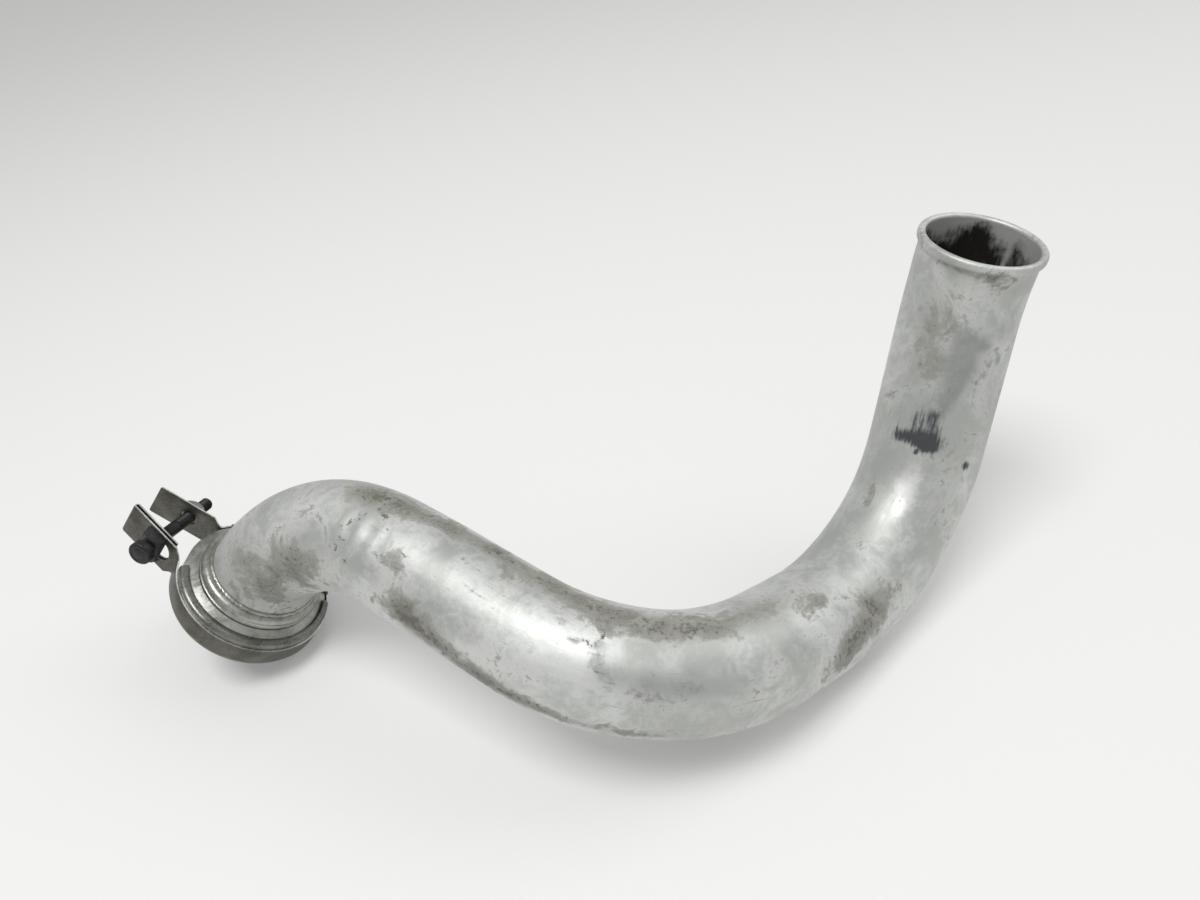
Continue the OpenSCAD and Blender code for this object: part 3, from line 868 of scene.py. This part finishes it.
@dataclass(frozen=True)
class Flange:
    """The turned flange with its collar, the weld and the seal."""

    flange_r: float = 54.5
    collar_r: float = 46.0
    bore_r: float = 38.0
    socket_r: float = 40.1
    collar_h: float = 9.2
    collar_round: float = 4.6
    groove_w: float = 1.4
    groove_depth: float = 1.8
    socket_depth: float = 16.0
    edge: float = 0.35
    fine_edge: float = 0.2
    collar_edge: float = 0.3
    shoulder_edge: float = 0.5
    seal_r: float = 1.5
    seal_pitch_r: float = 45.0
    seal_room: float = 1.7
    seal_groove: float = 2.5
    seal_stand: float = 0.6
    seal_points: int = 16
    weld_r: float = 2.2
    weld_ripple: float = 0.22

    def cone_z(self, r: float) -> float:
        """Height of the cone that the clamp's legs press on.

        Args:
            r: the radius at which it's wanted.

        Returns:
            The height over the flange's face.
        """
        clamp = Clamp()
        slope = np.radians(clamp.leg_slope)
        leg = clamp.bend_centre * np.sin(slope) + clamp.web_half * np.cos(slope) + clamp.bend_r
        return float((leg - clamp.sheet - clamp.cone_gap - r * np.sin(slope)) / np.cos(slope))

    def build(self, turned: bpy.types.Material, rubber: bpy.types.Material) -> None:
        """Turns the three rings; each outline's corners are broken as a lathe's tool leaves them.

        Args:
            turned: material of the flange and the weld.
            rubber: material of the seal.
        """
        edge, fine, collar_r = self.edge, self.fine_edge, self.collar_r
        rim_z, groove_z = self.cone_z(self.flange_r), self.cone_z(collar_r)
        above = groove_z + self.groove_w
        top = above + self.collar_h
        seat, root = top - self.socket_depth, collar_r - self.groove_depth
        left, right = self.seal_pitch_r - self.seal_room, self.seal_pitch_r + self.seal_room
        low = rounded([(self.bore_r, 0, edge), (left, 0, fine), (left, self.seal_groove, 0),
                       (right, self.seal_groove, 0), (right, 0, fine), (self.flange_r, 0, edge),
                       (self.flange_r, rim_z, edge), (collar_r, groove_z, self.collar_edge),
                       (root, groove_z, fine), (root, above, fine), (collar_r, above, self.shoulder_edge)])
        shoulder = arc((collar_r - self.collar_round, top - self.collar_round), self.collar_round, 0, 84, 14)
        high = rounded([(self.socket_r, top, self.collar_edge), (self.socket_r, seat, 0),
                        (self.bore_r, seat, fine)])
        outline = np.concatenate([low, shoulder, high])
        Revolved("turned_flange", "pipe_flange", "flange", outline).build(turned)
        bead = np.concatenate([arc((self.socket_r, top), self.weld_r, 0, 90, 8), [[self.socket_r, top]]])
        weld = Revolved("weld_bead", "flange_weld", "weld", bead, ripple=self.weld_ripple, steps=360)
        weld.build(turned)
        last = 360 - 360 / self.seal_points
        cord = arc((self.seal_pitch_r, self.seal_r - self.seal_stand), self.seal_r, 0, last, self.seal_points)
        Revolved("seal", "seal_ring", "seal", cord).build(rubber)


@dataclass(frozen=True)
class Clamp:
    """The band: two V segments, the strap with its ears, the bolt, its saddle and its nut."""

    web_r: float = 57.8
    sheet: float = 1.9
    half_h: float = 14.9
    leg_slope: float = 30.0
    bend_r: float = 3.0
    lip_r: float = 52.3
    lip_roll: float = 0.3
    cone_gap: float = 0.2
    seg_start: float = 32.73
    split_at: float = 213.0
    split_w: float = 10.0
    ears_at: float = 200.0
    bolt_at: float = 77.5
    bolt_r: float = 5.0
    head_r: float = 9.0
    head_h: float = 7.0
    head_y: float = 29.604
    nut_y: float = 27.004
    stub: float = 17.0
    thread_pitch: float = 1.5
    thread_depth: float = 0.75
    thread_from: float = 6.0
    thread_point: float = 1.0
    row_step: float = 0.15
    bolt_around: int = 72
    strap_edge: float = 0.25
    bar_edge: float = 0.5

    @property
    def bend_centre(self) -> float:
        """Radius at which the bend between web and leg has its centre."""
        return self.web_r - self.bend_r

    @property
    def web_half(self) -> float:
        """Half the height of the web's straight part.

        Returns:
            The height of the bend's centre over the middle plane.
        """
        slope = np.radians(self.leg_slope)
        to_lip = (self.bend_centre + self.bend_r * np.sin(slope) - self.lip_r) * np.tan(slope)
        return float(self.half_h - self.bend_r * np.cos(slope) - to_lip)

    def half_line(self, bend: float) -> np.ndarray:
        """One face of the sheet over the middle plane: up the web, round the bend, down the sloping leg.

        Args:
            bend: the bend's radius on that face.

        Returns:
            n by 2 points (radius, height).
        """
        slope = np.radians(self.leg_slope)
        turn = arc((self.bend_centre, self.web_half), bend, 0, 90 - self.leg_slope, 12)
        lip_z = self.web_half + (bend + (self.bend_centre - self.lip_r) * np.sin(slope)) / np.cos(slope)
        end = [self.lip_r + self.lip_roll, lip_z - self.lip_roll * np.tan(slope)]
        return np.concatenate([turn, [end]])

    def section(self) -> np.ndarray:
        """Outer line, a rolled free edge, and the inner line back, then the same below the middle plane.

        Returns:
            n by 2 points (radius, height) of a closed outline.
        """
        outer, inner = self.half_line(self.bend_r), self.half_line(self.bend_r - self.sheet)
        middle = (outer[-1] + inner[-1]) / 2
        span = outer[-1] - inner[-1]
        tip = middle + np.array([-span[1], span[0]]) / np.linalg.norm(span) * self.lip_roll
        cheeks = [middle + side * span + (tip - middle) * 0.8 for side in (0.35, -0.35)]
        upper = np.concatenate([outer, [cheeks[0], tip, cheeks[1]], inner[::-1]])
        return np.concatenate([upper, (upper * [1, -1])[::-1]])

    def head_rows(self) -> np.ndarray:
        """The chamfered round head with its recess, from the seat up.

        Returns:
            n by 2 numbers (height over the seat, radius).
        """
        h, r = self.head_h, self.head_r
        return np.array([(0, self.bolt_r), (0, r - 0.5), (0, r - 0.05), (0.5, r), (h - 1.2, r),
                         (h - 0.9, r - 0.15), (h - 0.35, r - 0.6), (h - 0.05, r - 1.3), (h, r - 2.2),
                         (h - 0.35, r - 3.4), (h, r - 4.2), (h, 0.01)])

    def bolt(self, material: bpy.types.Material) -> bpy.types.Object:
        """The bolt as rows of circles along its axis, from the thread's tip to the chamfered round head.

        The thread lowers the radius by depth times |2 f - 1|, with f the fraction of (y / pitch + a / turn).

        Args:
            material: the bolt's material.

        Returns:
            The bolt, in place of its node.
        """
        tip, plain, head = -self.nut_y - self.stub, -self.thread_from, self.head_rows()
        first = tip + self.thread_point
        y = np.concatenate([[tip, tip, first], np.arange(first + self.row_step, plain, self.row_step),
                            [plain, plain + self.thread_pitch], self.head_y + head[:, 0]])
        r = np.full(len(y), self.bolt_r)
        r[:2], r[-len(head):] = (0.01, self.bolt_r - self.thread_point), head[:, 1]
        a = np.linspace(0, 2 * np.pi, self.bolt_around, endpoint=False)
        turns = y[:, None] / self.thread_pitch + a / (2 * np.pi)
        cut = self.thread_depth * np.abs(2 * (turns - np.floor(turns)) - 1)
        threaded = ((y > tip + self.thread_point / 2) & (y < plain))[:, None]
        radius = r[:, None] - np.where(threaded, cut, 0)
        x, z = self.bolt_at + radius * np.cos(a), radius * np.sin(a)
        points = np.stack([x, np.broadcast_to(y[:, None], x.shape), z], 2).reshape(-1, 3)
        ears = np.radians(self.ears_at)
        swing = np.array([[np.cos(ears), -np.sin(ears), 0], [np.sin(ears), np.cos(ears), 0], [0, 0, 1]])
        faces = [list(f) for f in grid_faces(len(y), len(a), False, True)]
        faces += [list(range(len(a))), list(range((len(y) - 1) * len(a), len(y) * len(a)))[::-1]]
        piece = mesh_object("threaded_bolt", REST.place(points @ swing.T), faces)
        dress(piece, [material])
        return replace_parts(piece, "clamp_bolt")

    def build(self, metal: dict[Metal, bpy.types.Material]) -> None:
        """Makes the segments and the bolt, and wears the edges of the strap, the saddle and the nut.

        Args:
            metal: the material of each metal.
        """
        section = self.section()
        front, back = self.split_at - self.split_w / 2, self.split_at + self.split_w / 2
        for name, node, start, end in (("front_segment", "v_segment_front", self.seg_start, front),
                                       ("back_segment", "v_segment_back", back, 360 - self.seg_start)):
            ring = Revolved(name, node, "segments", section, self.ears_at + start, end - start)
            ring.build(metal[Metal.SHEET])
        self.bolt(metal[Metal.BLACKENED])
        sheet = [metal[Metal.STRAP], metal[Metal.EDGE]]
        worn_copy("strap_and_ears", "clamp_strap", sheet, self.strap_edge)
        worn_copy("saddle", "bolt_saddle", [metal[Metal.BLACKENED]], self.bar_edge)
        worn_copy("nut", "clamp_nut", [metal[Metal.PLATED]], self.bar_edge)


def worn_copy(name: str, node: str, materials: Sequence[bpy.types.Material],
              edge: float) -> bpy.types.Object:
    """Copies a solid of the frame, merges its triangles and rounds its edges.

    Args:
        name: the copy's name.
        node: the solid's name.
        materials: its material, and if they differ, one for cut edges that face along the flange axis.
        edge: how far its edges are rounded, in millimetres.

    Returns:
        The copy, in place of the node.
    """
    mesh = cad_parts[node].data.copy()
    mesh.name = name
    outwards(mesh, MERGE_M)
    count = len(mesh.polygons)
    mesh.polygons.foreach_set("use_smooth", np.ones(count, bool))
    piece = on_body(bpy.data.objects.new(name, mesh))
    dress(piece, materials)
    facing = np.empty(3 * count, np.float32)
    mesh.polygons.foreach_get("normal", facing)
    cut = np.abs(facing.reshape(-1, 3) @ REST.matrix()[:, 2]) > EDGE_ON
    mesh.polygons.foreach_set("material_index", (cut & (len(materials) > 1)).astype(np.int32))
    flat = piece.modifiers.new("flat_faces", "DECIMATE")
    flat.decimate_type, flat.angle_limit, flat.delimit = "DISSOLVE", np.radians(FLAT_DEG), {"MATERIAL"}
    worn = piece.modifiers.new("worn_edges", "BEVEL")
    worn.width, worn.segments, worn.limit_method = edge * MM, 3, "ANGLE"
    worn.angle_limit, worn.harden_normals = np.radians(SHARP_DEG), True
    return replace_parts(piece, node)


# Stage


@dataclass(frozen=True)
class Studio:
    """The pale floor, the soft lamps and the camera of the photograph."""

    eye: tuple[float, float, float] = (0.31597, -0.47909, 0.47276)
    ahead: tuple[float, float, float] = (-0.04789, 0.78903, -0.61248)
    up: tuple[float, float, float] = (0.11153, 0.61357, 0.78172)
    focal_px: float = 870.0
    frame_px: float = 1200.0
    floor: tuple[float, float, float] = (0.72, 0.72, 0.71)
    half_floor: float = 9.0
    lift: float = 0.12
    room: float = 0.50

    def camera(self) -> None:
        """Sets the camera; the lens is 36 mm times the focal length in pixels over the frame's width."""
        data = bpy.data.cameras.new("photo_camera")
        data.sensor_width = 36.0
        data.lens = data.sensor_width * self.focal_px / self.frame_px
        data.clip_start = 0.01
        camera = bpy.data.objects.new("photo_camera", data)
        back = -Vector(self.ahead).normalized()
        right = Vector(self.up).cross(back).normalized()
        turned = Matrix((right, back.cross(right), back)).transposed().to_4x4()
        camera.matrix_world = Matrix.Translation(self.eye) @ turned
        bpy.context.scene.collection.objects.link(camera)
        bpy.context.scene.camera = camera

    def ground(self, height: float) -> None:
        """Lays a wide plain floor, which the camera and the metal see a little lighter.

        Args:
            height: the floor's z.
        """
        mesh = bpy.data.meshes.new("floor")
        w = self.half_floor
        corners = [(-w, -w, height), (w, -w, height), (w, w, height), (-w, w, height)]
        mesh.from_pydata(corners, [], [(0, 1, 2, 3)])
        floor = bpy.data.objects.new("floor", mesh)
        bpy.context.scene.collection.objects.link(floor)
        b = Bench("floor_paper")
        rays = b.tree.nodes.new("ShaderNodeLightPath").outputs
        seen = b.math("MAXIMUM", rays["Is Camera Ray"], rays["Is Glossy Ray"])
        seen = b.math("MAXIMUM", seen, rays["Is Transmission Ray"])
        for key, source in (("Base Color", (*self.floor, 1)), ("Roughness", 0.9),
                            ("Specular IOR Level", 0.1), ("Emission Color", (1, 1, 1, 1)),
                            ("Emission Strength", b.math("MULTIPLY", seen, self.lift))):
            b.link(source, b.shader.inputs[key])
        mesh.materials.append(b.material)

    def lamp(self, name: str, place: tuple[float, float, float], aim: tuple[float, float, float],
             size: float, power: float) -> None:
        """Hangs a square soft lamp.

        Args:
            name: the lamp's name.
            place: where it hangs.
            aim: the point that it looks at.
            size: length of its side.
            power: its power in watts.
        """
        data = bpy.data.lights.new(name, "AREA")
        data.shape, data.size, data.energy = "SQUARE", size, power
        lamp = bpy.data.objects.new(name, data)
        lamp.location = place
        lamp.rotation_euler = (Vector(place) - Vector(aim)).to_track_quat("Z", "Y").to_euler()
        bpy.context.scene.collection.objects.link(lamp)

    def light(self) -> None:
        """Pale room light with one broad key lamp overhead and a weaker fill."""
        world = bpy.data.worlds.new("room")
        bpy.context.scene.world = world
        world.use_nodes = True
        background = world.node_tree.nodes["Background"]
        background.inputs["Color"].default_value = (1, 1, 1, 1)
        background.inputs["Strength"].default_value = self.room
        self.lamp("key", (-0.18, -0.65, 2.65), (0.28, -0.05, 0.05), 1.1, 41)
        self.lamp("fill", (2.8, 0.6, 2.3), (0.4, 0.0, 0.1), 1.8, 20)

    def build(self) -> None:
        """Sets up everything that isn't the object."""
        self.camera()
        self.ground(CAD_BOX[0].z)
        self.light()
        bpy.context.scene.view_settings.view_transform = "Standard"


def main() -> None:
    """Builds the pieces in order, then the stage."""
    logging.basicConfig(level=logging.INFO, format="%(message)s")
    metal = {kind: finish.material() for kind, finish in FINISHES.items()}
    Tube().build()
    Flange().build(metal[Metal.TURNED], metal[Metal.RUBBER])
    Clamp().build(metal)
    Studio().build()


if __name__ == "__main__":
    main()
